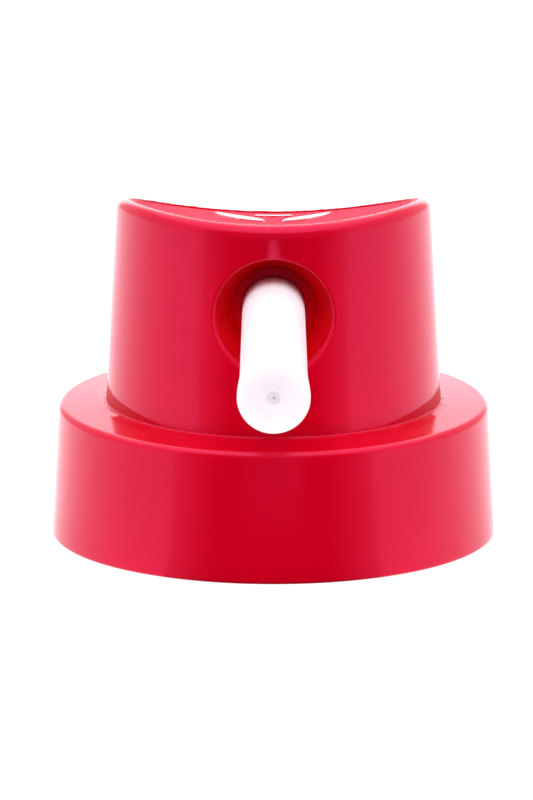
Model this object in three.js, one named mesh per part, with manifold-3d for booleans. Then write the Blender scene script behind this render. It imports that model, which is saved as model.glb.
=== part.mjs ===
// Push-on spray cap for a paint aerosol: a red moulded actuator with a white spout tube.
// Millimetres, +Z up. The origin is on the cap's axis in the plane of the skirt's foot,
// and the spout points along -Y.
import * as THREE from 'three';
import { mergeVertices } from 'three/addons/utils/BufferGeometryUtils.js';
import Module from 'manifold-3d';

const wasm = await Module();
wasm.setup();

// Facets round each turned shape.
const BODY_SIDES = 84;
const BORE_SIDES = 36;

// Skirt, and the shoulder that rises a little from its rounded rim to the upper body.
const SKIRT_FOOT_R = 8.79;
const SKIRT_TOP_R = 8.54;
const SKIRT_INNER_FOOT_R = 7.88;
const SKIRT_INNER_TOP_R = 7.66;
const SKIRT_CEILING_Z = 4.4;
const FOOT_CHAMFER = 0.15;
const RIM_Z = 5.31;
const RIM_FILLET = 0.28;

// Tapered upper body.
const UPPER_FOOT_Z = 5.44;
const UPPER_FOOT_R = 6.65;
const UPPER_TOP_R = 6.25;
const UPPER_FILLET = 0.58;
const FILLET_STEPS = 4;

// Finger pad: hollow from side to side, falling to the back, a little below its rim.
const PAD_Z = 12.8;
const PAD_SLOPE = 0.1875;
const PAD_CURVE_R = 21;
const PAD_R = 5.61;
const PAD_STEP = 0.06;
const PAD_RINGS = 4;

// Inside: hub with the valve stem's socket, three ribs and the nozzle boss.
const HOLLOW_FOOT_R = 5.66;
const HOLLOW_TOP_R = 5.4;
const HOLLOW_TOP_Z = 10.7;
const HUB_R = 2.75;
const HUB_FOOT_Z = 4.8;
const SOCKET_R = 1.98;
const SOCKET_TOP_Z = 8.2;
const SOCKET_CHAMFER = 0.35;
const RIB_THICK = 0.8;
const RIB_FOOT_Z = 5.4;
const RIB_OVERLAP = 0.3;
const RISER_R = 0.6;

// Nozzle line: front recess, seat bore and passage, all on one level axis.
const NOZZLE_Z = 10.3;
const BOSS_R = 3.0;
const RECESS_R = 2.28;
const RECESS_FLOOR_R = 1.74;
const RECESS_SHOULDER_Y = -5.7;
const RECESS_FLOOR_Y = -4.8;
const SEAT_END_Y = -2.3;
const SEAT_R = 1.7;
const PASSAGE_R = 0.45;
const PASSAGE_END_Y = 0.3;

// Nozzle insert, a bush pressed into the seat bore.
const INSERT_R = 1.66;
const INSERT_END_GAP = 0.04;
const INSERT_BORE_R = 1.29;
const INSERT_BORE_END_Y = -2.8;
const INSERT_HOLE_R = 0.35;

// Spout tube, a little wider towards its free end.
const TUBE_TIP_Y = -20;
const TUBE_END_Y = -2.84;
const TUBE_PLUG_R = 1.235;
const TUBE_WIDE_R = 1.345;
const TUBE_LIP_R = 1.44;
const TUBE_LIP_LENGTH = 0.5;
const TUBE_BORE_R = 0.28;
const TUBE_EDGE = 0.12;

// How far a cutter runs past the face it opens.
const PAST = 1;

// How close to a height a point counts as being on it.
const TOUCH = 0.001;

// Points closer together than this are one corner of a solid.
const MERGE = 1e-5;

// --- helpers -----------------------------------------------------------------

// A closed three.js geometry as a manifold solid.
function solidOf(geometry) {
  const bare = geometry.clone();
  bare.deleteAttribute('normal');
  bare.deleteAttribute('uv');
  const merged = mergeVertices(bare, MERGE);
  const index = merged.index.array;
  const kept = [];
  for (let i = 0; i < index.length; i += 3) {
    const [a, b, c] = [index[i], index[i + 1], index[i + 2]];
    if (a !== b && b !== c && c !== a) kept.push(a, b, c);
  }
  const mesh = new wasm.Mesh({
    numProp: 3,
    vertProperties: new Float32Array(merged.attributes.position.array),
    triVerts: new Uint32Array(kept),
  });
  return new wasm.Manifold(mesh);
}

// A manifold solid as a three.js geometry.
function geometryOf(solid) {
  const mesh = solid.getMesh();
  const geometry = new THREE.BufferGeometry();
  geometry.setAttribute('position', new THREE.BufferAttribute(mesh.vertProperties, 3));
  geometry.setIndex(new THREE.BufferAttribute(mesh.triVerts, 1));
  geometry.computeVertexNormals();
  return geometry;
}

// Turns a profile of [radius, z] points, listed from the bottom up, round the Z axis.
function turned(profile, sides) {
  const points = profile.map(([r, z]) => new THREE.Vector2(r, z));
  return new THREE.LatheGeometry(points, sides).rotateX(Math.PI / 2);
}

// Turns a profile of [radius, y] points, listed from the back to the front, round the
// nozzle axis.
function turnedOnNozzle(profile, sides) {
  const points = profile.map(([r, y]) => new THREE.Vector2(r, -y));
  const geometry = new THREE.LatheGeometry(points, sides);
  return geometry.rotateX(Math.PI).translate(0, 0, NOZZLE_Z);
}

// Points of a quarter round, from where it leaves the wall to where it reaches the top.
function quarterRound(wallR, topZ, radius, steps) {
  const points = [];
  for (let i = 0; i <= steps; i += 1) {
    const a = (Math.PI / 2) * (i / steps);
    points.push([wallR - radius * (1 - Math.cos(a)), topZ - radius * (1 - Math.sin(a))]);
  }
  return points;
}

// --- cap body ----------------------------------------------------------------

// Height of the finger pad's surface over a point.
function padHeight(x, y) {
  return PAD_Z - PAD_SLOPE * y + (x * x) / (2 * PAD_CURVE_R);
}

// The outside of the cap as one solid lump, with the pad's saddle pressed into its top.
function outerLump() {
  const flatTop = PAD_Z;
  const profile = [[0, 0], [SKIRT_FOOT_R - FOOT_CHAMFER, 0], [SKIRT_FOOT_R, FOOT_CHAMFER]];
  profile.push(...quarterRound(SKIRT_TOP_R, RIM_Z, RIM_FILLET, FILLET_STEPS));
  profile.push([UPPER_FOOT_R, UPPER_FOOT_Z]);
  profile.push(...quarterRound(UPPER_TOP_R, flatTop, UPPER_FILLET, FILLET_STEPS));
  for (let i = 0; i <= PAD_RINGS; i += 1) {
    profile.push([PAD_R * (1 - i / PAD_RINGS), flatTop - PAD_STEP]);
  }
  const geometry = turned(profile, BODY_SIDES);
  const place = geometry.attributes.position;
  const wallTop = flatTop - UPPER_FILLET;
  for (let i = 0; i < place.count; i += 1) {
    if (place.getZ(i) > wallTop - TOUCH) {
      const rise = padHeight(place.getX(i), place.getY(i)) - flatTop;
      place.setZ(i, place.getZ(i) + rise);
    }
  }
  return solidOf(geometry);
}

// The three ribs that tie the hub to the wall; the nozzle boss is the fourth.
function ribs() {
  const length = HOLLOW_FOOT_R + RIB_OVERLAP;
  const height = HOLLOW_TOP_Z - RIB_FOOT_Z + RIB_OVERLAP;
  const turns = [0, Math.PI / 2, Math.PI];
  const solids = turns.map((turn) => {
    const box = new THREE.BoxGeometry(length, RIB_THICK, height);
    box.translate(length / 2, 0, RIB_FOOT_Z + height / 2);
    return solidOf(box.rotateZ(turn));
  });
  return solids.reduce((all, one) => all.add(one));
}

// The hollow under the cap, with the hub, ribs and nozzle boss left standing.
function hollow() {
  const room = solidOf(turned([
    [0, -PAST], [SKIRT_INNER_FOOT_R, -PAST], [SKIRT_INNER_FOOT_R, 0],
    [SKIRT_INNER_TOP_R, SKIRT_CEILING_Z], [HOLLOW_FOOT_R, SKIRT_CEILING_Z],
    [HOLLOW_TOP_R, HOLLOW_TOP_Z], [0, HOLLOW_TOP_Z],
  ], BODY_SIDES));
  const top = HOLLOW_TOP_Z + PAST;
  const hub = solidOf(turned([[0, HUB_FOOT_Z], [HUB_R, HUB_FOOT_Z], [HUB_R, top], [0, top]],
    BORE_SIDES));
  const boss = solidOf(turnedOnNozzle([[0, 0], [BOSS_R, 0], [BOSS_R, -UPPER_FOOT_R],
    [0, -UPPER_FOOT_R]], BORE_SIDES));
  return room.subtract(hub.add(boss).add(ribs()));
}

// Everything bored: the stem's socket, the riser, and the nozzle line up to the front.
function bores() {
  const foot = HUB_FOOT_Z - PAST;
  const socket = solidOf(turned([
    [0, foot], [SOCKET_R + SOCKET_CHAMFER, foot], [SOCKET_R + SOCKET_CHAMFER, HUB_FOOT_Z],
    [SOCKET_R, HUB_FOOT_Z + SOCKET_CHAMFER], [SOCKET_R, SOCKET_TOP_Z],
    [RISER_R, SOCKET_TOP_Z], [RISER_R, NOZZLE_Z], [0, NOZZLE_Z],
  ], BORE_SIDES));
  const line = solidOf(turnedOnNozzle([
    [0, PASSAGE_END_Y], [PASSAGE_R, PASSAGE_END_Y], [PASSAGE_R, SEAT_END_Y],
    [SEAT_R, SEAT_END_Y], [SEAT_R, RECESS_FLOOR_Y],
    [RECESS_FLOOR_R, RECESS_FLOOR_Y], [RECESS_R, RECESS_SHOULDER_Y],
    [RECESS_R, -UPPER_FOOT_R - PAST], [0, -UPPER_FOOT_R - PAST],
  ], BORE_SIDES));
  return socket.add(line);
}

function capBody() {
  return geometryOf(outerLump().subtract(hollow()).subtract(bores()));
}

// --- nozzle insert and tube --------------------------------------------------

function nozzleInsert() {
  const back = SEAT_END_Y - INSERT_END_GAP;
  return turnedOnNozzle([
    [INSERT_HOLE_R, back], [INSERT_R, back], [INSERT_R, RECESS_FLOOR_Y],
    [INSERT_BORE_R, RECESS_FLOOR_Y], [INSERT_BORE_R, INSERT_BORE_END_Y],
    [INSERT_HOLE_R, INSERT_BORE_END_Y], [INSERT_HOLE_R, back],
  ], BORE_SIDES);
}

function sprayTube() {
  const lipStart = TUBE_TIP_Y + TUBE_LIP_LENGTH;
  return turnedOnNozzle([
    [TUBE_BORE_R, TUBE_END_Y], [TUBE_PLUG_R - TUBE_EDGE, TUBE_END_Y],
    [TUBE_PLUG_R, TUBE_END_Y - TUBE_EDGE], [TUBE_PLUG_R, RECESS_FLOOR_Y],
    [TUBE_WIDE_R, lipStart], [TUBE_LIP_R, lipStart - TUBE_EDGE],
    [TUBE_LIP_R, TUBE_TIP_Y + TUBE_EDGE], [TUBE_LIP_R - TUBE_EDGE, TUBE_TIP_Y],
    [TUBE_BORE_R, TUBE_TIP_Y], [TUBE_BORE_R, TUBE_END_Y],
  ], BORE_SIDES);
}

// --- assembly ----------------------------------------------------------------

const redPlastic = { color: 0xc4041c, roughness: 0.22, metalness: 0 };
const whitePlastic = { color: 0xf2eef0, roughness: 0.35, metalness: 0 };

function named(name, geometry, look) {
  const mesh = new THREE.Mesh(geometry, new THREE.MeshStandardMaterial(look));
  mesh.name = name;
  return mesh;
}

const cap = new THREE.Group();
cap.add(named('cap_body', capBody(), redPlastic));
cap.add(named('nozzle_insert', nozzleInsert(), redPlastic));
cap.add(named('spray_tube', sprayTube(), whitePlastic));

export default cap;
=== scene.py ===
"""Looks of a push-on spray cap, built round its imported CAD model.

Shapes are worked out in millimetres in the CAD's frame (+Z up, spout along -Y) and scaled to
metres when their mesh is made.
"""
import math

import bmesh
import bpy
import numpy as np
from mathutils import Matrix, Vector


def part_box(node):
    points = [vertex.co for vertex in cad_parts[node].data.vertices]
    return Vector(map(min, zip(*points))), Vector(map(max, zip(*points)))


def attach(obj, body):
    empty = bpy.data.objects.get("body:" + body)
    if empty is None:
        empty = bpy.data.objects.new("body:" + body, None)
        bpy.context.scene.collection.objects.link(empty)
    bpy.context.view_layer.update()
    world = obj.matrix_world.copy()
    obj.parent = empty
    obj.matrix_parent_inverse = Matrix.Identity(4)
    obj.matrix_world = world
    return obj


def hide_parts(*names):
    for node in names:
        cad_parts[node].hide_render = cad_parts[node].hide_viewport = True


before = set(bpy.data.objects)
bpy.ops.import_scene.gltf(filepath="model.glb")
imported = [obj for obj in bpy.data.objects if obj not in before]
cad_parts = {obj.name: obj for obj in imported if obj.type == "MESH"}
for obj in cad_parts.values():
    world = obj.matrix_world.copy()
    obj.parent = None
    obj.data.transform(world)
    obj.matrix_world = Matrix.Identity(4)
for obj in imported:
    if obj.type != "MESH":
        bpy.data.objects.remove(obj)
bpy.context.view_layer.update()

MM = 0.001

# --- sizes taken from the frame, in millimetres --------------------------------

cap_high = np.array(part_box("cap_body")[1]) / MM
insert_low, insert_high = [np.array(corner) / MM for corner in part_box("nozzle_insert")]
tube_low, tube_high = [np.array(corner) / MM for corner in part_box("spray_tube")]

FOOT_R = cap_high[0]
NOZZLE_Z = (insert_low[2] + insert_high[2]) / 2
INSERT_R = (insert_high[0] - insert_low[0]) / 2
RECESS_FLOOR_Y = insert_low[1]
INSERT_BACK_Y = insert_high[1]
TUBE_TIP_Y = tube_low[1]
TUBE_END_Y = tube_high[1]
TUBE_LIP_R = (tube_high[0] - tube_low[0]) / 2

# --- cap body ------------------------------------------------------------------

SIDES = 384                # columns round the cap
SMALL_ROUND_STEPS = 5      # steps over the smallest roundings
SKIRT_ROWS = 12
SHOULDER_ROWS = 8
FOOT_ROUND = 0.12          # rounding of the skirt's foot
SKIRT_TOP_R = 8.54
RIM_Z = 5.31               # top of the skirt's rounded rim
RIM_ROUND = 0.28
UPPER_FOOT_Z = 5.44        # where the upper body stands on the shoulder
UPPER_FOOT_R = 6.66
TAPER = 0.0531             # how much the upper body narrows per millimetre of height
COVE = 0.06                # rounding in the corner between shoulder and upper body
BEAD_WIDTH = 0.1           # uneven bead along that corner
BEAD_LEAST = 0.008
BEAD_SPREAD = 0.035
BEAD_SHAPE = [(0.85, 0.7), (0.55, 1.0), (0.25, 0.8)]        # shares of its width and height
BEAD_KNOTS = 110
BEAD_SEED = 9
WALL_ROWS = 40

PAD_Z = 12.8               # finger pad's height on the axis
PAD_SLOPE = 0.1875
PAD_CURVE_R = 21.0
PAD_ROUND = 0.58           # rounding from the wall to the pad's rim
PAD_R = 5.64
PAD_STEP = 0.06            # how far the pad lies below its rim
FLASH_WIDTH = 0.12         # the thin ragged seam left where the pad's mould insert met the rim
FLASH_LEAST = 0.01
FLASH_SPREAD = 0.024
FLASH_SHAPE = [(0.2, 0.6), (0.4, 1.0), (0.75, 1.0), (0.95, 0.5)]
FLASH_KNOTS = 220
FLASH_SEED = 4
PAD_LIP = [(0, 0.3), (0.01, 0.7), (0.04, 1.0)]  # rows down to the pad: inset, share of the step
GRIP_HEIGHT = 0.06         # raised marks on the pad that show a finger the way to the spout
GRIP_EDGE = 0.06           # width of a mark's sloping side
GRIP_LEAF_BACK = (2.4, 3.5)       # ends of a leaf's middle line
GRIP_LEAF_FRONT = (0.4, -2.1)
GRIP_LEAF_HALF_WIDTH = 0.62
GRIP_LEAF_LEAN = 0.35      # how much slimmer a leaf is behind than at its middle
GRIP_BAR_X = 0.78
GRIP_BAR_Y = 2.6
GRIP_BAR_HALF_Y = 0.5
GRIP_TOP = 0.9             # share of a mark's height above which it is polished
GRIP_SIDE = 0.05           # and above which it belongs to the mark's side, which gets painted shade
PAD_RINGS = 96
RIM_STEPS = 12             # steps over the skirt's rim and over the pad's
RIM_ROWS = RIM_STEPS + len(FLASH_SHAPE) + len(PAD_LIP) + 1     # rows before the matt pad starts

# Surface finishes, which are also the places of their materials on the cap's mesh; some carry
# painted light or shade.
GLOSS_FINISH = 0
PAD_PAINTED_SHEEN_FINISH = 1             # the pad's matt surface, its pinker red a painted sheen
CORE_PAINTED_LIGHT_FINISH = 2            # the recess's less polished surface, painted a lighter red as light inside the recess
PAINTED_SHADE_FINISH = 3          # a darker, less glossy red painted as shade in corners and along edges
PAINTED_SHADE_LEAST = 0.015       # height of that painted shade at the wall's foot, in front and behind
PAINTED_SHADE_SPREAD = 0.55       # what is added to it towards the sides
PAINTED_SHADE_START = 0.643       # sine of the angle from the front or back where that begins

PATCH_COLUMNS = 30         # half width of the wall patch round the recess, in columns
PATCH_FIRST_ROW = 9
PATCH_LAST_ROW = 39
PATCH_RINGS = 9
PATCH_EASE = 0.8           # brings the rings closer together towards the mouth
RECESS_R = 2.28
RECESS_SHOULDER_Y = -5.7   # where the recess starts to narrow
RECESS_WALL_SHARES = (0.33, 0.66, 1.0)
RECESS_CONE_SHARES = (0.25, 0.5, 0.75, 0.92, 1.0)
RECESS_FLOOR_R = 1.70
SEAT_R = 1.66              # the insert is a press fit here, so no gap shows
SEAT_LEAD = 0.04           # length of the seat's tapered start
SEAT_END_Y = -2.3
PASSAGE_R = 0.45
PASSAGE_END_Y = 0.3
LIP_ROUND = 0.16           # rounding of the recess's mouth at its sides
LIP_LEAN = 0.1             # it is sharper by this above, and softer by this below
LIP_STEPS = 10

# Underside.
SKIRT_INNER_FOOT_R = 7.88
SKIRT_INNER_TOP_R = 7.66
SKIRT_CEILING_Z = 4.4
HOLLOW_FOOT_R = 5.66
HOLLOW_TOP_R = 5.4
HOLLOW_TOP_Z = 10.7
HUB_R = 2.75
HUB_FOOT_Z = 4.8
SOCKET_R = 1.98
SOCKET_TOP_Z = 8.2
SOCKET_CHAMFER = 0.35
RISER_R = 0.6
BOSS_R = 3.0
RIB_THICK = 0.8
RIB_FOOT_Z = 5.4
RIB_OVERLAP = 0.3          # how far a rib runs into the wall
CUT_PAST = 1.0             # how far a cutting shape runs past the surface that it cuts

BORE_SIDES = 96


def wall_radius(z):
    """Radius of the upper body's tapered wall at a height."""
    return UPPER_FOOT_R - TAPER * (z - UPPER_FOOT_Z)


def pad_height(x, y):
    """Height of the saddle that the pad and its rim follow."""
    return PAD_Z - PAD_SLOPE * y + x * x / (2 * PAD_CURVE_R)


def ragged(angle, count, seed):
    """A smooth irregular value from 0 to 1 round the cap, with count random knots."""
    knots = np.random.default_rng(seed).random(count)
    place_on = (angle / (2 * math.pi) * count) % count
    low = np.floor(place_on).astype(int) % count
    share = place_on - np.floor(place_on)
    share = share * share * (3 - 2 * share)
    return knots[low] * (1 - share) + knots[(low + 1) % count] * share


def grip(x, y):
    """1 on the pad's raised grip marks, two slim leaves and a bar, and 0 off them."""
    side = np.abs(x)
    back, front = np.array(GRIP_LEAF_BACK), np.array(GRIP_LEAF_FRONT)
    middle, half = (back + front) / 2, (back - front) / 2
    length = np.hypot(*half)
    along = ((side - middle[0]) * half[0] + (y - middle[1]) * half[1]) / length
    across = ((side - middle[0]) * half[1] - (y - middle[1]) * half[0]) / length
    taper = 1 - (along / length) ** 2
    lean = 1 - GRIP_LEAF_LEAN * along / length
    leaf = GRIP_LEAF_HALF_WIDTH * taper * lean - np.abs(across)
    bar = np.minimum(GRIP_BAR_X - side, GRIP_BAR_HALF_Y - np.abs(y - GRIP_BAR_Y))
    return np.clip(np.maximum(leaf, bar) / GRIP_EDGE, 0, 1)


def place(r, angle, z):
    """Points at a radius, an angle from the front, and a height."""
    return np.stack([r * np.sin(angle), -r * np.cos(angle), z + 0 * angle], axis=-1)


class Skin:
    """Vertices and faces gathered row by row, each face with its material's number."""

    def __init__(self):
        self.points = []
        self.faces = []
        self.finish = GLOSS_FINISH
        self.finishes = []

    def row(self, points):
        """Adds a row of points and gives their indices."""
        start = len(self.points)
        self.points.extend(map(tuple, np.asarray(points, float)))
        return list(range(start, len(self.points)))

    def face(self, *corners):
        """Adds one face in the current finish."""
        self.faces.append(corners)
        self.finishes.append(self.finish)

    def band(self, lower, upper, skip=()):
        """Joins two closed rows with quads, apart from the columns in skip."""
        count = len(lower)
        for j in range(count):
            if j not in skip:
                k = (j + 1) % count
                self.face(lower[j], lower[k], upper[k], upper[j])

    def fan(self, row, point, flip=False):
        """Closes a row onto one point."""
        tip = self.row([point])[0]
        count = len(row)
        for j in range(count):
            a, b = row[j], row[(j + 1) % count]
            self.face(*((b, a, tip) if flip else (a, b, tip)))

    def mesh(self, name, materials=()):
        """The skin as a mesh object, in metres."""
        data = bpy.data.meshes.new(name)
        for material in materials:
            data.materials.append(material)
        data.from_pydata([tuple(c * MM for c in p) for p in self.points], [], self.faces)
        shape = bmesh.new()
        shape.from_mesh(data)
        bmesh.ops.recalc_face_normals(shape, faces=shape.faces)
        shape.to_mesh(data)
        shape.free()
        data.polygons.foreach_set("material_index", self.finishes)
        obj = bpy.data.objects.new(name, data)
        bpy.context.scene.collection.objects.link(obj)
        return obj


def round_over(steps):
    """Fractions (inward, upward) along a quarter round that turns from a wall to a top."""
    turn = np.linspace(0, math.pi / 2, steps + 1)
    return list(zip(1 - np.cos(turn), np.sin(turn)))


def skirt_rows(angle):
    """Rows from the skirt's foot, over its rim and shoulder, to the upper body's foot."""
    rows = []
    for inward, upward in round_over(SMALL_ROUND_STEPS):
        rows.append((FOOT_R - FOOT_ROUND * (1 - upward), FOOT_ROUND * inward))
    wall_top = RIM_Z - RIM_ROUND
    for share in np.linspace(0, 1, SKIRT_ROWS + 1)[1:-1]:
        z = FOOT_ROUND + share * (wall_top - FOOT_ROUND)
        rows.append((FOOT_R + (SKIRT_TOP_R - FOOT_R) * share, z))
    for inward, upward in round_over(RIM_STEPS):
        rows.append((SKIRT_TOP_R - RIM_ROUND * inward, wall_top + RIM_ROUND * upward))
    inner = SKIRT_TOP_R - RIM_ROUND
    outer_edge = UPPER_FOOT_R + COVE
    for share in np.linspace(0, 1, SHOULDER_ROWS + 1)[1:]:
        rows.append((inner + (outer_edge - inner) * share, RIM_Z + (UPPER_FOOT_Z - RIM_Z) * share))
    bead = BEAD_LEAST + BEAD_SPREAD * ragged(angle, BEAD_KNOTS, BEAD_SEED) ** 2
    for share, rise in BEAD_SHAPE:
        rows.insert(-1, (outer_edge + BEAD_WIDTH * share, UPPER_FOOT_Z + bead * rise))
    for inward, upward in round_over(SMALL_ROUND_STEPS)[1:-1]:
        rows.append((outer_edge - COVE * upward, UPPER_FOOT_Z + COVE * inward))
    return [place(r, angle, z) for r, z in rows]


def fillet_start(angle):
    """Height at which the wall starts to round over into the pad's rim."""
    z = np.full_like(angle, PAD_Z)
    for _ in range(4):  # the wall's radius depends on the height, so this closes in on it
        r = wall_radius(z)
        z = pad_height(r * np.sin(angle), -r * np.cos(angle)) - PAD_ROUND
    return z


def wall_rows(angle):
    """Rows up the tapered wall, as heights: its foot, the edge of the painted-shade zone, and on to
    its top.
    """
    foot = UPPER_FOOT_Z + COVE + 0 * angle
    sideways = np.clip((np.abs(np.sin(angle)) - PAINTED_SHADE_START) / (1 - PAINTED_SHADE_START), 0, 1)
    edge = foot + PAINTED_SHADE_LEAST + PAINTED_SHADE_SPREAD * sideways
    top = fillet_start(angle)
    return [foot] + [edge + (top - edge) * i / (WALL_ROWS - 1) for i in range(WALL_ROWS)]


def top_rows(angle):
    """Rows over the rounded rim, down its inner lip and over the pad, as points."""
    rows = []
    start_r = wall_radius(fillet_start(angle))

    def at(r, below):
        x, y = r * np.sin(angle), -r * np.cos(angle)
        return np.stack([x, y, pad_height(x, y) - below], axis=-1)

    crest = PAD_R + FLASH_WIDTH
    for inward, upward in round_over(RIM_STEPS)[1:]:
        r = start_r + (crest - start_r) * inward
        rows.append(at(r, PAD_ROUND * (1 - upward)))
    flash = FLASH_LEAST + FLASH_SPREAD * ragged(angle, FLASH_KNOTS, FLASH_SEED) ** 3
    for share, rise in FLASH_SHAPE:
        rows.append(at(crest - FLASH_WIDTH * share, -flash * rise))
    for inset, share in PAD_LIP:
        rows.append(at(PAD_R - inset + 0 * angle, PAD_STEP * share))
    flat_r = PAD_R - PAD_LIP[-1][0]
    for i in range(1, PAD_RINGS):
        r = flat_r * (1 - i / PAD_RINGS)
        relief = GRIP_HEIGHT * grip(r * np.sin(angle), -r * np.cos(angle))
        rows.append(at(r + 0 * angle, PAD_STEP - relief))
    return rows


def on_wall(angle, z):
    """Points on the tapered wall."""
    return place(wall_radius(z), angle, z)


def patch_border():
    """Rows and columns of the wall patch's edge, in order round it."""
    left, right = -PATCH_COLUMNS, PATCH_COLUMNS
    low, high = PATCH_FIRST_ROW, PATCH_LAST_ROW
    border = [(high, c) for c in range(right, left, -1)]
    border += [(r, left) for r in range(high, low, -1)]
    border += [(low, c) for c in range(left, right)]
    border += [(r, right) for r in range(low, high)]
    return border[::-1]


def recess_rings(turn, mouth, lip):
    """Rings from the recess's rounded mouth to the end of the passage behind it."""
    mouth_x, mouth_z = mouth * np.sin(turn), NOZZLE_Z + mouth * np.cos(turn)
    mouth_y = -np.sqrt(wall_radius(mouth_z) ** 2 - mouth_x ** 2)
    wall_start = mouth_y + lip
    sizes = []
    for inward, upward in round_over(LIP_STEPS)[1:]:
        sizes.append((mouth + (RECESS_R - mouth) * upward, mouth_y + lip * inward))
    for share in RECESS_WALL_SHARES:
        sizes.append((RECESS_R, wall_start + (RECESS_SHOULDER_Y - wall_start) * share))
    for share in RECESS_CONE_SHARES:
        radius = RECESS_R + (RECESS_FLOOR_R - RECESS_R) * share
        sizes.append((radius, RECESS_SHOULDER_Y + (RECESS_FLOOR_Y - RECESS_SHOULDER_Y) * share))
    sizes += [(SEAT_R, RECESS_FLOOR_Y + SEAT_LEAD), (SEAT_R, SEAT_END_Y),
              (PASSAGE_R, SEAT_END_Y), (PASSAGE_R, PASSAGE_END_Y)]
    return [np.stack([radius * np.sin(turn), y + 0 * turn, NOZZLE_Z + radius * np.cos(turn)],
                     axis=-1) for radius, y in sizes]


def recess_patch(skin, wall_index, wall_z, angle):
    """The wall round the front recess, its rounded mouth, and the bores behind it."""
    border = patch_border()
    edge_row = [wall_index[r][c % SIDES] for r, c in border]
    signed = (angle + math.pi) % (2 * math.pi) - math.pi
    edge_angle = np.array([signed[c % SIDES] for r, c in border])
    edge_z = np.array([wall_z[r][c % SIDES] for r, c in border])
    across = wall_radius(edge_z) * np.sin(edge_angle)
    turn = np.arctan2(across, edge_z - NOZZLE_Z)

    lip = LIP_ROUND - LIP_LEAN * np.cos(turn)
    mouth = RECESS_R + lip
    mouth_z = NOZZLE_Z + mouth * np.cos(turn)
    mouth_angle = np.arcsin(mouth * np.sin(turn) / wall_radius(mouth_z))

    previous = edge_row
    for i in range(1, PATCH_RINGS + 1):
        share = (i / PATCH_RINGS) ** PATCH_EASE
        ring_angle = edge_angle + (mouth_angle - edge_angle) * share
        ring_z = edge_z + (mouth_z - edge_z) * share
        ring = skin.row(on_wall(ring_angle, ring_z))
        skin.band(previous, ring)
        previous = ring

    for i, points in enumerate(recess_rings(turn, mouth, lip)):
        # past its rounded mouth the recess is painted a lighter red, as light inside it
        skin.finish = CORE_PAINTED_LIGHT_FINISH if i >= LIP_STEPS else GLOSS_FINISH
        ring = skin.row(points)
        skin.band(previous, ring)
        previous = ring
    skin.fan(previous, (0, PASSAGE_END_Y, NOZZLE_Z))
    skin.finish = GLOSS_FINISH


def finish_grips(skin):
    """Gives the grip marks' tops the gloss finish and their sides the corners' painted shade."""
    for number, corners in enumerate(skin.faces):
        if skin.finishes[number] == PAD_PAINTED_SHEEN_FINISH:
            x, y, _ = np.mean([skin.points[c] for c in corners], axis=0)
            height = grip(x, y)
            if height > GRIP_TOP:
                skin.finishes[number] = GLOSS_FINISH
            elif height > GRIP_SIDE:
                skin.finishes[number] = PAINTED_SHADE_FINISH


def cap_lump(materials):
    """The cap's outside with its recess and nozzle bores, still solid underneath."""
    skin = Skin()
    angle = np.arange(SIDES) * 2 * math.pi / SIDES
    lower = [skin.row(points) for points in skirt_rows(angle)]
    skin.fan(lower[0], (0, 0, 0), flip=True)
    for a, b in zip(lower, lower[1:]):
        skin.band(a, b)
    wall_z = wall_rows(angle)
    wall_index = [skin.row(on_wall(angle, z)) for z in wall_z]
    skin.band(lower[-1], wall_index[0])
    open_columns = {c % SIDES for c in range(-PATCH_COLUMNS, PATCH_COLUMNS)}
    for i in range(WALL_ROWS):
        # the band from the wall's foot to the zone's edge is painted shade, taller at the sides
        skin.finish = PAINTED_SHADE_FINISH if i == 0 else GLOSS_FINISH
        inside = PATCH_FIRST_ROW <= i < PATCH_LAST_ROW
        skin.band(wall_index[i], wall_index[i + 1], skip=open_columns if inside else ())
    recess_patch(skin, wall_index, wall_z, angle)
    previous = wall_index[-1]
    for i, points in enumerate(top_rows(angle)):
        # the rim's ragged seam, the pad's lip and the pad's edge are painted shade
        if i == RIM_STEPS:
            skin.finish = PAINTED_SHADE_FINISH
        if i == RIM_ROWS:
            skin.finish = PAD_PAINTED_SHEEN_FINISH
        ring = skin.row(points)
        skin.band(previous, ring)
        previous = ring
    skin.fan(previous, (0, 0, PAD_Z - PAD_STEP))
    finish_grips(skin)
    return skin.mesh("cap_shell", materials)


def turned(name, profile, sides=BORE_SIDES):
    """A cutting solid turned round the Z axis from [radius, z] points, on the axis at both ends."""
    skin = Skin()
    angle = np.arange(sides) * 2 * math.pi / sides
    rows = [skin.row(place(r, angle, z)) for r, z in profile[1:-1]]
    skin.fan(rows[0], (0, 0, profile[0][1]), flip=True)
    for a, b in zip(rows, rows[1:]):
        skin.band(a, b)
    skin.fan(rows[-1], (0, 0, profile[-1][1]))
    return skin.mesh(name)


def turned_on_nozzle(profile, sides=BORE_SIDES, closed=True):
    """A skin turned round the nozzle axis from [radius, y] points, back to front."""
    skin = Skin()
    angle = np.arange(sides) * 2 * math.pi / sides
    rows = []
    for r, y in profile:
        rows.append(skin.row(np.stack([r * np.sin(angle), y + 0 * angle,
                                       NOZZLE_Z + r * np.cos(angle)], axis=-1)))
    for a, b in zip(rows, rows[1:]):
        skin.band(a, b)
    if closed:
        skin.band(rows[-1], rows[0])
    return skin


def slab(name, length, thick, z_low, z_high, turn):
    """A rib: a thin block from the axis outwards."""
    corners = [(0, -thick / 2), (length, -thick / 2), (length, thick / 2), (0, thick / 2)]
    c, s = math.cos(turn), math.sin(turn)
    flat = [(x * c - y * s, x * s + y * c) for x, y in corners]
    skin = Skin()
    low = skin.row([(x, y, z_low) for x, y in flat])
    high = skin.row([(x, y, z_high) for x, y in flat])
    skin.band(low, high)
    skin.face(*reversed(low))
    skin.face(*high)
    return skin.mesh(name)


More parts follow.
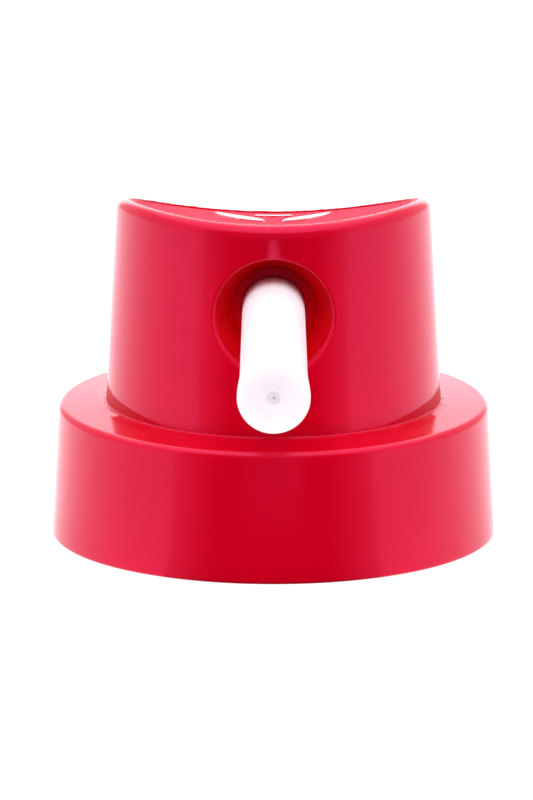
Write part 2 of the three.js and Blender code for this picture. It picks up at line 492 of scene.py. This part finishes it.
def cut(target, tools):
    """Cuts the tools out of target, and removes them."""
    for tool in tools:
        step = target.modifiers.new("cut", "BOOLEAN")
        step.operation = "DIFFERENCE"
        step.solver = "EXACT"
        step.object = tool
    graph = bpy.context.evaluated_depsgraph_get()
    result = bpy.data.meshes.new_from_object(target.evaluated_get(graph))
    target.modifiers.clear()
    target.data = result
    for tool in tools:
        bpy.data.objects.remove(tool)


def nozzle_boss():
    """The lump of plastic round the nozzle's bores."""
    skin = turned_on_nozzle([(BOSS_R, 0), (BOSS_R, -UPPER_FOOT_R)], closed=False)
    rim = list(range(BORE_SIDES))
    skin.fan(rim, (0, 0, NOZZLE_Z), flip=True)
    skin.fan([BORE_SIDES + j for j in rim], (0, -UPPER_FOOT_R, NOZZLE_Z))
    return skin.mesh("boss")


def hollow():
    """What is cut out of the cap from below, round the hub, the boss and three ribs."""
    room = turned("room", [
        (0, -CUT_PAST), (SKIRT_INNER_FOOT_R, -CUT_PAST), (SKIRT_INNER_FOOT_R, 0.0),
        (SKIRT_INNER_TOP_R, SKIRT_CEILING_Z), (HOLLOW_FOOT_R, SKIRT_CEILING_Z),
        (HOLLOW_TOP_R, HOLLOW_TOP_Z), (0, HOLLOW_TOP_Z)], SIDES // 2)
    top = HOLLOW_TOP_Z + CUT_PAST
    hub = turned("hub", [(0, HUB_FOOT_Z), (HUB_R, HUB_FOOT_Z), (HUB_R, top), (0, top)])
    boss = nozzle_boss()
    ribs = [slab("rib", HOLLOW_FOOT_R + RIB_OVERLAP, RIB_THICK, RIB_FOOT_Z, top, turn)
            for turn in (0, math.pi / 2, math.pi)]
    cut(room, [hub, boss, *ribs])
    return room


def stem_socket():
    """The valve stem's socket and the riser from it to the nozzle."""
    foot = HUB_FOOT_Z - CUT_PAST
    return turned("socket", [
        (0, foot), (SOCKET_R + SOCKET_CHAMFER, foot), (SOCKET_R + SOCKET_CHAMFER, HUB_FOOT_Z),
        (SOCKET_R, HUB_FOOT_Z + SOCKET_CHAMFER), (SOCKET_R, SOCKET_TOP_Z),
        (RISER_R, SOCKET_TOP_Z), (RISER_R, NOZZLE_Z), (0, NOZZLE_Z)])


def cap_shell(materials):
    """The finished cap body: the outer lump hollowed from below."""
    lump = cap_lump(materials)
    cut(lump, [hollow(), stem_socket()])
    return lump


# --- nozzle insert and tube ------------------------------------------------------

INSERT_BORE_R = 1.25
INSERT_BORE_END_Y = -2.8
INSERT_HOLE_R = 0.35
INSERT_EDGE = 0.03

TUBE_PLUG_R = 1.235
TUBE_WIDE_R = 1.33
TUBE_BORE_R = 0.28
TUBE_LIP_LENGTH = 3.8      # the tube flares over this length at its free end
TUBE_EDGE = 0.16
TUBE_EDGE_STEPS = 8
TUBE_MOUTH_ROUND = 0.06
TUBE_MOUTH_DEPTH = 0.10    # the bore closes to a pinhole this far inside the free end
TUBE_INNER_R = 0.05
TUBE_SIDES = 144
TUBE_ROWS = 24
TUBE_LIP_ROWS = 16


def nozzle_bush(material):
    """The red bush in the recess's floor that holds the tube."""
    front = RECESS_FLOOR_Y
    profile = [
        (INSERT_HOLE_R, INSERT_BACK_Y), (INSERT_R - INSERT_EDGE, INSERT_BACK_Y),
        (INSERT_R, INSERT_BACK_Y - INSERT_EDGE), (INSERT_R, front + INSERT_EDGE),
        (INSERT_R - INSERT_EDGE / 2, front + INSERT_EDGE / 4), (INSERT_R - INSERT_EDGE, front),
        (INSERT_BORE_R + INSERT_EDGE, front), (INSERT_BORE_R, front + INSERT_EDGE),
        (INSERT_BORE_R, INSERT_BORE_END_Y), (INSERT_HOLE_R, INSERT_BORE_END_Y)]
    return turned_on_nozzle(profile).mesh("nozzle_bush", [material])


def spout_tube(material):
    """The white spout tube, with a softly rounded lip at its free end."""
    profile = [(TUBE_INNER_R, TUBE_END_Y), (TUBE_PLUG_R - TUBE_EDGE, TUBE_END_Y),
               (TUBE_PLUG_R, TUBE_END_Y - TUBE_EDGE)]
    lip_start = TUBE_TIP_Y + TUBE_LIP_LENGTH
    for share in np.linspace(0, 1, TUBE_ROWS + 1):
        radius = TUBE_PLUG_R + (TUBE_WIDE_R - TUBE_PLUG_R) * share
        profile.append((radius, RECESS_FLOOR_Y + (lip_start - RECESS_FLOOR_Y) * share))
    for share in np.linspace(0, 1, TUBE_LIP_ROWS + 1)[1:-1]:
        ease = share * share * (3 - 2 * share)
        radius = TUBE_WIDE_R + (TUBE_LIP_R - TUBE_WIDE_R) * ease
        profile.append((radius, lip_start - share * (TUBE_LIP_LENGTH - TUBE_EDGE)))
    edge_y = TUBE_TIP_Y + TUBE_EDGE
    for inward, upward in round_over(TUBE_EDGE_STEPS):
        profile.append((TUBE_LIP_R - TUBE_EDGE * inward, edge_y - TUBE_EDGE * upward))
    for inward, upward in round_over(SMALL_ROUND_STEPS):
        profile.append((TUBE_BORE_R + TUBE_MOUTH_ROUND * (1 - upward),
                        TUBE_TIP_Y + TUBE_MOUTH_ROUND * inward))
    profile.append((TUBE_INNER_R, TUBE_TIP_Y + TUBE_MOUTH_DEPTH))
    return turned_on_nozzle(profile, TUBE_SIDES).mesh("spout_tube", [material])


# --- materials -------------------------------------------------------------------

class Nodes:
    """A small helper that builds one material's node tree."""

    def __init__(self, name):
        self.material = bpy.data.materials.new(name)
        self.material.use_nodes = True
        self.tree = self.material.node_tree
        self.shader = self.tree.nodes["Principled BSDF"]

    def add(self, kind, **values):
        """A new node, with each value set on its input, or as its property."""
        node = self.tree.nodes.new(kind)
        for key, value in values.items():
            if key in node.inputs:
                node.inputs[key].default_value = value
            else:
                setattr(node, key, value)
        return node

    def link(self, source, output, target, entry):
        """Joins one node's output to another's input."""
        self.tree.links.new(source.outputs[output], target.inputs[entry])

    def set(self, **values):
        """Sets inputs of the shader, their spaces written as underscores."""
        for key, value in values.items():
            self.shader.inputs[key.replace("_", " ")].default_value = value


NOISE_LOW = 0.3            # nearly all of a noise texture's values lie between these
NOISE_HIGH = 0.7
GRAIN_DISTANCE = 0.00001   # metres
RED_SPECULAR = (1.0, 0.18, 0.5, 1)
# the tube's natural white, darkened and tinted pinkish lilac as painted red bounce light from the
# cap
WHITE_PAINTED_BOUNCE = (0.84, 0.79, 0.825)
WHITE_PAINTED_BOUNCE_DEEP = (0.80, 0.74, 0.78)


def surface_noise(nodes, scale, detail=3.0):
    """A noise texture in the object's own coordinates; scale is per metre."""
    place_node = nodes.add("ShaderNodeTexCoord")
    noise = nodes.add("ShaderNodeTexNoise", Scale=scale, Detail=detail, Roughness=0.55)
    nodes.link(place_node, "Object", noise, "Vector")
    return noise


def ranged(nodes, source, low, high):
    """A noise texture's value stretched to a range."""
    spread = nodes.add("ShaderNodeMapRange")
    spread.inputs["From Min"].default_value = NOISE_LOW
    spread.inputs["From Max"].default_value = NOISE_HIGH
    spread.inputs["To Min"].default_value = low
    spread.inputs["To Max"].default_value = high
    nodes.link(source, "Fac", spread, "Value")
    return spread


def cloudy_dye(nodes, base, deep, scale, most):
    """Dyes a plastic with base, clouded by up to a share of deep."""
    mix = nodes.add("ShaderNodeMix", data_type="RGBA")
    mix.inputs["A"].default_value = (*base, 1)
    mix.inputs["B"].default_value = (*deep, 1)
    nodes.link(ranged(nodes, surface_noise(nodes, scale), 0.0, most), "Result", mix, "Factor")
    nodes.link(mix, "Result", nodes.shader, "Base Color")


def uneven_polish(nodes, low, high, scale):
    """Lets a plastic's roughness wander between two values."""
    roughness = ranged(nodes, surface_noise(nodes, scale), low, high)
    nodes.link(roughness, "Result", nodes.shader, "Roughness")


def fine_grain(nodes, depth, scale):
    """The fine grain that a mould leaves on a plastic."""
    grain = surface_noise(nodes, scale, 2.0)
    bump = nodes.add("ShaderNodeBump", Strength=depth, Distance=GRAIN_DISTANCE)
    nodes.link(grain, "Fac", bump, "Height")
    nodes.link(bump, "Normal", nodes.shader, "Normal")


def red_plastic(name, base, deep, rough, grain_depth=0.12, gloss=1.0):
    """Red moulded plastic, with faint cloudiness in its dye and a fine grain."""
    nodes = Nodes(name)
    cloudy_dye(nodes, base, deep, scale=260.0, most=0.5)
    uneven_polish(nodes, rough * 0.85, rough * 1.2, scale=900.0)
    fine_grain(nodes, grain_depth, scale=9000.0)
    nodes.set(IOR=1.55, Specular_IOR_Level=gloss, Specular_Tint=RED_SPECULAR,
              Subsurface_Weight=0.15, Subsurface_Scale=0.0008,
              Subsurface_Radius=(1.0, 0.1, 0.07))
    return nodes.material


def cap_reds():
    """The cap body's materials, in the order of its finishes."""
    return [
        red_plastic("red_gloss", (0.61, 0.0, 0.014), (0.57, 0.0, 0.010), rough=0.12),
        # the pad's pinker red is a painted sheen on its matt surface
        red_plastic("red_pad_painted_sheen", (0.60, 0.072, 0.11), (0.54, 0.052, 0.085), rough=0.8,
                    grain_depth=0.3, gloss=0.0),
        # a lighter red than the gloss: painted light inside the recess, on a less polished surface
        red_plastic("red_core_painted_light", (0.68, 0.0, 0.004), (0.63, 0.0, 0.003), rough=0.25, gloss=0.3),
        # darker, less glossy red: painted shade in corners and along edges
        red_plastic("red_painted_shade", (0.52, 0.0, 0.014), (0.48, 0.0, 0.010), rough=0.3, gloss=0.1)]


def insert_red():
    """The nozzle insert's satin red."""
    return red_plastic("red_satin", (0.56, 0.0, 0.003), (0.52, 0.0, 0.002), rough=0.3, gloss=0.4)


def tube_white():
    """Smooth natural white plastic that lets a little light through, tinted pinkish lilac as painted
    red bounce light.
    """
    nodes = Nodes("white_natural_painted_bounce")
    cloudy_dye(nodes, WHITE_PAINTED_BOUNCE, WHITE_PAINTED_BOUNCE_DEEP, scale=400.0, most=0.6)
    uneven_polish(nodes, 0.3, 0.42, scale=1500.0)
    fine_grain(nodes, 0.1, scale=6000.0)
    nodes.set(IOR=1.5, Subsurface_Weight=1.0, Subsurface_Scale=0.0012,
              Subsurface_Radius=(1.0, 0.85, 0.9))
    return nodes.material


# --- the object's pieces -----------------------------------------------------------

SHARP_DEGREES = 32         # edges that turn by more than this stay sharp


def finished(obj, node, body):
    """Shades a piece and puts it in its CAD node's place."""
    obj.data.shade_smooth()
    obj.data.set_sharp_from_angle(angle=math.radians(SHARP_DEGREES))
    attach(obj, body)
    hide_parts(node)


# --- studio ------------------------------------------------------------------------

VIEW_ELEVATION = math.radians(13.7)
CAMERA_DISTANCE = 1000.0
VIEW_HEIGHT = 31.8725      # height of the picture, measured at the cap
SENSOR = 36.0              # height of the camera's sensor
CLIP_START = 0.01          # metres
CLIP_END = 20.0
AIM_X = -0.28              # where the view's middle line crosses, left of the cap's axis
AIM_UP = 5.22              # and how far above the skirt's foot, square to the view
TINT = (1.0, 0.96, 1.0)    # colour of the sky and of the table's glow


def add_camera():
    """A long lens in front of the spout, looking slightly down."""
    back = np.array([0, -math.cos(VIEW_ELEVATION), math.sin(VIEW_ELEVATION)])
    up = np.array([0, math.sin(VIEW_ELEVATION), math.cos(VIEW_ELEVATION)])
    aim = np.array([AIM_X, 0, 0]) + AIM_UP * up
    data = bpy.data.cameras.new("camera")
    data.sensor_width = SENSOR
    data.lens = SENSOR * CAMERA_DISTANCE / VIEW_HEIGHT
    data.clip_start = CLIP_START
    data.clip_end = CLIP_END
    camera = bpy.data.objects.new("camera", data)
    camera.location = Vector((aim + CAMERA_DISTANCE * back) * MM)
    camera.rotation_euler = Vector(back).to_track_quat("Z", "Y").to_euler()
    bpy.context.scene.collection.objects.link(camera)
    bpy.context.scene.camera = camera


def glow_nodes(name, strength, color=(1, 1, 1)):
    """A stage material that only glows, as its nodes."""
    nodes = Nodes(name)
    nodes.set(Base_Color=(0, 0, 0, 1), Specular_IOR_Level=0.0)
    nodes.set(Emission_Color=(*color, 1), Emission_Strength=strength)
    return nodes


DISC_SIDES = 96


def disc(name, radius, z):
    """A flat round stage piece."""
    skin = Skin()
    angle = np.arange(DISC_SIDES) * 2 * math.pi / DISC_SIDES
    skin.fan(skin.row(place(radius, angle, z)), (0, 0, z))
    obj = skin.mesh(name)
    return obj


FLOOR_RADIUS = 2500.0
FLOOR_GLOW = 0.88
FLOOR_GREY = 0.2           # what the floor adds of the lights, so that the cap's shadow shows
FLOOR_ROUGH = 0.9
TABLE_RADIUS = 150.0
TABLE_DEPTH = 0.02         # how far the table lies under the floor
TABLE_APEX_Y = -4.5        # the dark part of the table fans out from here, towards the front
# How bright the table is, by the angle from straight ahead in degrees.
TABLE_STEPS = [(0, 0.0), (30, 0.02), (40, 0.2), (52, 0.5), (56, 1.0), (90, 1.1), (130, 1.5),
               (180, 1.65)]


def only_for_camera(obj):
    """Leaves a stage piece out of the object's light and reflections."""
    obj.visible_diffuse = False
    obj.visible_glossy = False
    obj.visible_transmission = False
    obj.visible_shadow = False


def floor():
    """The pale floor that the camera sees."""
    obj = disc("floor", FLOOR_RADIUS, 0.0)
    nodes = glow_nodes("floor_white", FLOOR_GLOW)
    nodes.set(Base_Color=(FLOOR_GREY, FLOOR_GREY, FLOOR_GREY, 1), Roughness=FLOOR_ROUGH)
    obj.data.materials.append(nodes.material)
    only_for_camera(obj)


def table():
    """What the cap's sides mirror: a bright table that is dark towards the front."""
    obj = disc("table", TABLE_RADIUS, -TABLE_DEPTH)
    obj.visible_camera = False
    obj.visible_shadow = False
    nodes = glow_nodes("table_glow", 1.0, TINT)

    def maths(operation, *inputs):
        node = nodes.add("ShaderNodeMath", operation=operation)
        for number, value in enumerate(inputs):
            if isinstance(value, float):
                node.inputs[number].default_value = value
            else:
                nodes.tree.links.new(value, node.inputs[number])
        return node.outputs["Value"]

    split = nodes.add("ShaderNodeSeparateXYZ")
    nodes.link(nodes.add("ShaderNodeTexCoord"), "Object", split, "Vector")
    ahead = maths("SUBTRACT", TABLE_APEX_Y * MM, split.outputs["Y"])
    turn = maths("ABSOLUTE", maths("ARCTAN2", split.outputs["X"], ahead))
    brightest = max(level for _, level in TABLE_STEPS)
    ramp = nodes.add("ShaderNodeValToRGB")
    stops = ramp.color_ramp.elements
    while len(stops) < len(TABLE_STEPS):
        stops.new(0.5)
    for stop, (degrees, level) in zip(stops, TABLE_STEPS):
        stop.position = degrees / 180
        stop.color = (level / brightest,) * 3 + (1,)
    nodes.tree.links.new(maths("DIVIDE", turn, math.pi), ramp.inputs["Fac"])
    strength = maths("MULTIPLY", ramp.outputs["Color"], brightest)
    nodes.tree.links.new(strength, nodes.shader.inputs["Emission Strength"])
    obj.data.materials.append(nodes.material)


SKY_BASE = 0.15
SKY_BACK = 1.6             # level in a narrow patch straight behind
SKY_SIDE = 0.7             # level everywhere but in front
SKY_TOP = 1.5              # level overhead
BACKGROUND_WHITE = 1.05    # how the sky looks where nothing stands in front of it
# Where those levels fade in, as parts of a direction of length 1.
BACK_FADE_X = (0.45, 0.25)
BACK_FADE_Y = (0.0, 0.4)
SIDE_FADE_Y = (-0.75, -0.5)
TOP_FADE_Z = (0.5, 0.75)


def surroundings():
    """Soft sky: dim in front, bright behind the object and overhead, plain white as a background."""
    world = bpy.data.worlds.new("surroundings")
    world.use_nodes = True
    bpy.context.scene.world = world
    tree = world.node_tree
    where = tree.nodes.new("ShaderNodeTexCoord")
    split = tree.nodes.new("ShaderNodeSeparateXYZ")
    tree.links.new(where.outputs["Generated"], split.inputs["Vector"])

    def patch(axis, start, end, level=1.0):
        """A level that fades in from start to end along an axis."""
        spread = tree.nodes.new("ShaderNodeMapRange")
        spread.interpolation_type = "SMOOTHSTEP"
        for key, value in zip(("From Min", "From Max", "To Min", "To Max"), (start, end, 0, level)):
            spread.inputs[key].default_value = value
        tree.links.new(split.outputs[axis], spread.inputs["Value"])
        return spread.outputs["Result"]

    def combined(operation, one, other):
        """The result of a maths operation on a value and another value or number."""
        node = tree.nodes.new("ShaderNodeMath")
        node.operation = operation
        tree.links.new(one, node.inputs[0])
        if isinstance(other, float):
            node.inputs[1].default_value = other
        else:
            tree.links.new(other, node.inputs[1])
        return node.outputs["Value"]

    start, full = BACK_FADE_X
    between = combined("MULTIPLY", patch("X", -start, -full), patch("X", start, full))
    behind = combined("MULTIPLY", between, patch("Y", *BACK_FADE_Y, SKY_BACK))
    brighter = combined("MAXIMUM", behind, patch("Z", *TOP_FADE_Z, SKY_TOP))
    wide = combined("MAXIMUM", brighter, patch("Y", *SIDE_FADE_Y, SKY_SIDE))
    sky = combined("ADD", wide, SKY_BASE)
    seen = tree.nodes.new("ShaderNodeLightPath").outputs["Is Camera Ray"]
    total = combined("MAXIMUM", sky, combined("MULTIPLY", seen, BACKGROUND_WHITE))
    background = tree.nodes["Background"]
    background.inputs["Color"].default_value = (*TINT, 1)
    tree.links.new(total, background.inputs["Strength"])


LIGHT_AIM = (0, 0, 8)
# Name, place, width and height in millimetres, and power in watts.
LIGHTS = [("fill_box", (0, -27, 1), (13, 9), 0.0021),
          ("top_box", (0, -80, 190), (120, 90), 0.16),
          ("left_box", (-235, -35, 40), (120, 70), 0.13),
          ("right_box", (235, -35, 40), (120, 70), 0.13)]


def area_light(name, where, size, power):
    """A soft rectangular light that the camera and reflections don't show."""
    data = bpy.data.lights.new(name, "AREA")
    data.shape = "RECTANGLE"
    data.size, data.size_y = size[0] * MM, size[1] * MM
    data.energy = power
    light = bpy.data.objects.new(name, data)
    light.location = Vector(where) * MM
    light.rotation_euler = (Vector(where) - Vector(LIGHT_AIM)).to_track_quat("Z", "Y").to_euler()
    light.visible_camera = False
    light.visible_glossy = False
    bpy.context.scene.collection.objects.link(light)


def add_studio():
    """White floor, soft sky, a fill light in front, one above and a softbox on each side."""
    bpy.context.scene.view_settings.view_transform = "Standard"
    surroundings()
    floor()
    table()
    for light in LIGHTS:
        area_light(*light)


add_camera()
add_studio()

finished(cap_shell(cap_reds()), "cap_body", "cap")
finished(nozzle_bush(insert_red()), "nozzle_insert", "cap")
finished(spout_tube(tube_white()), "spray_tube", "tube")
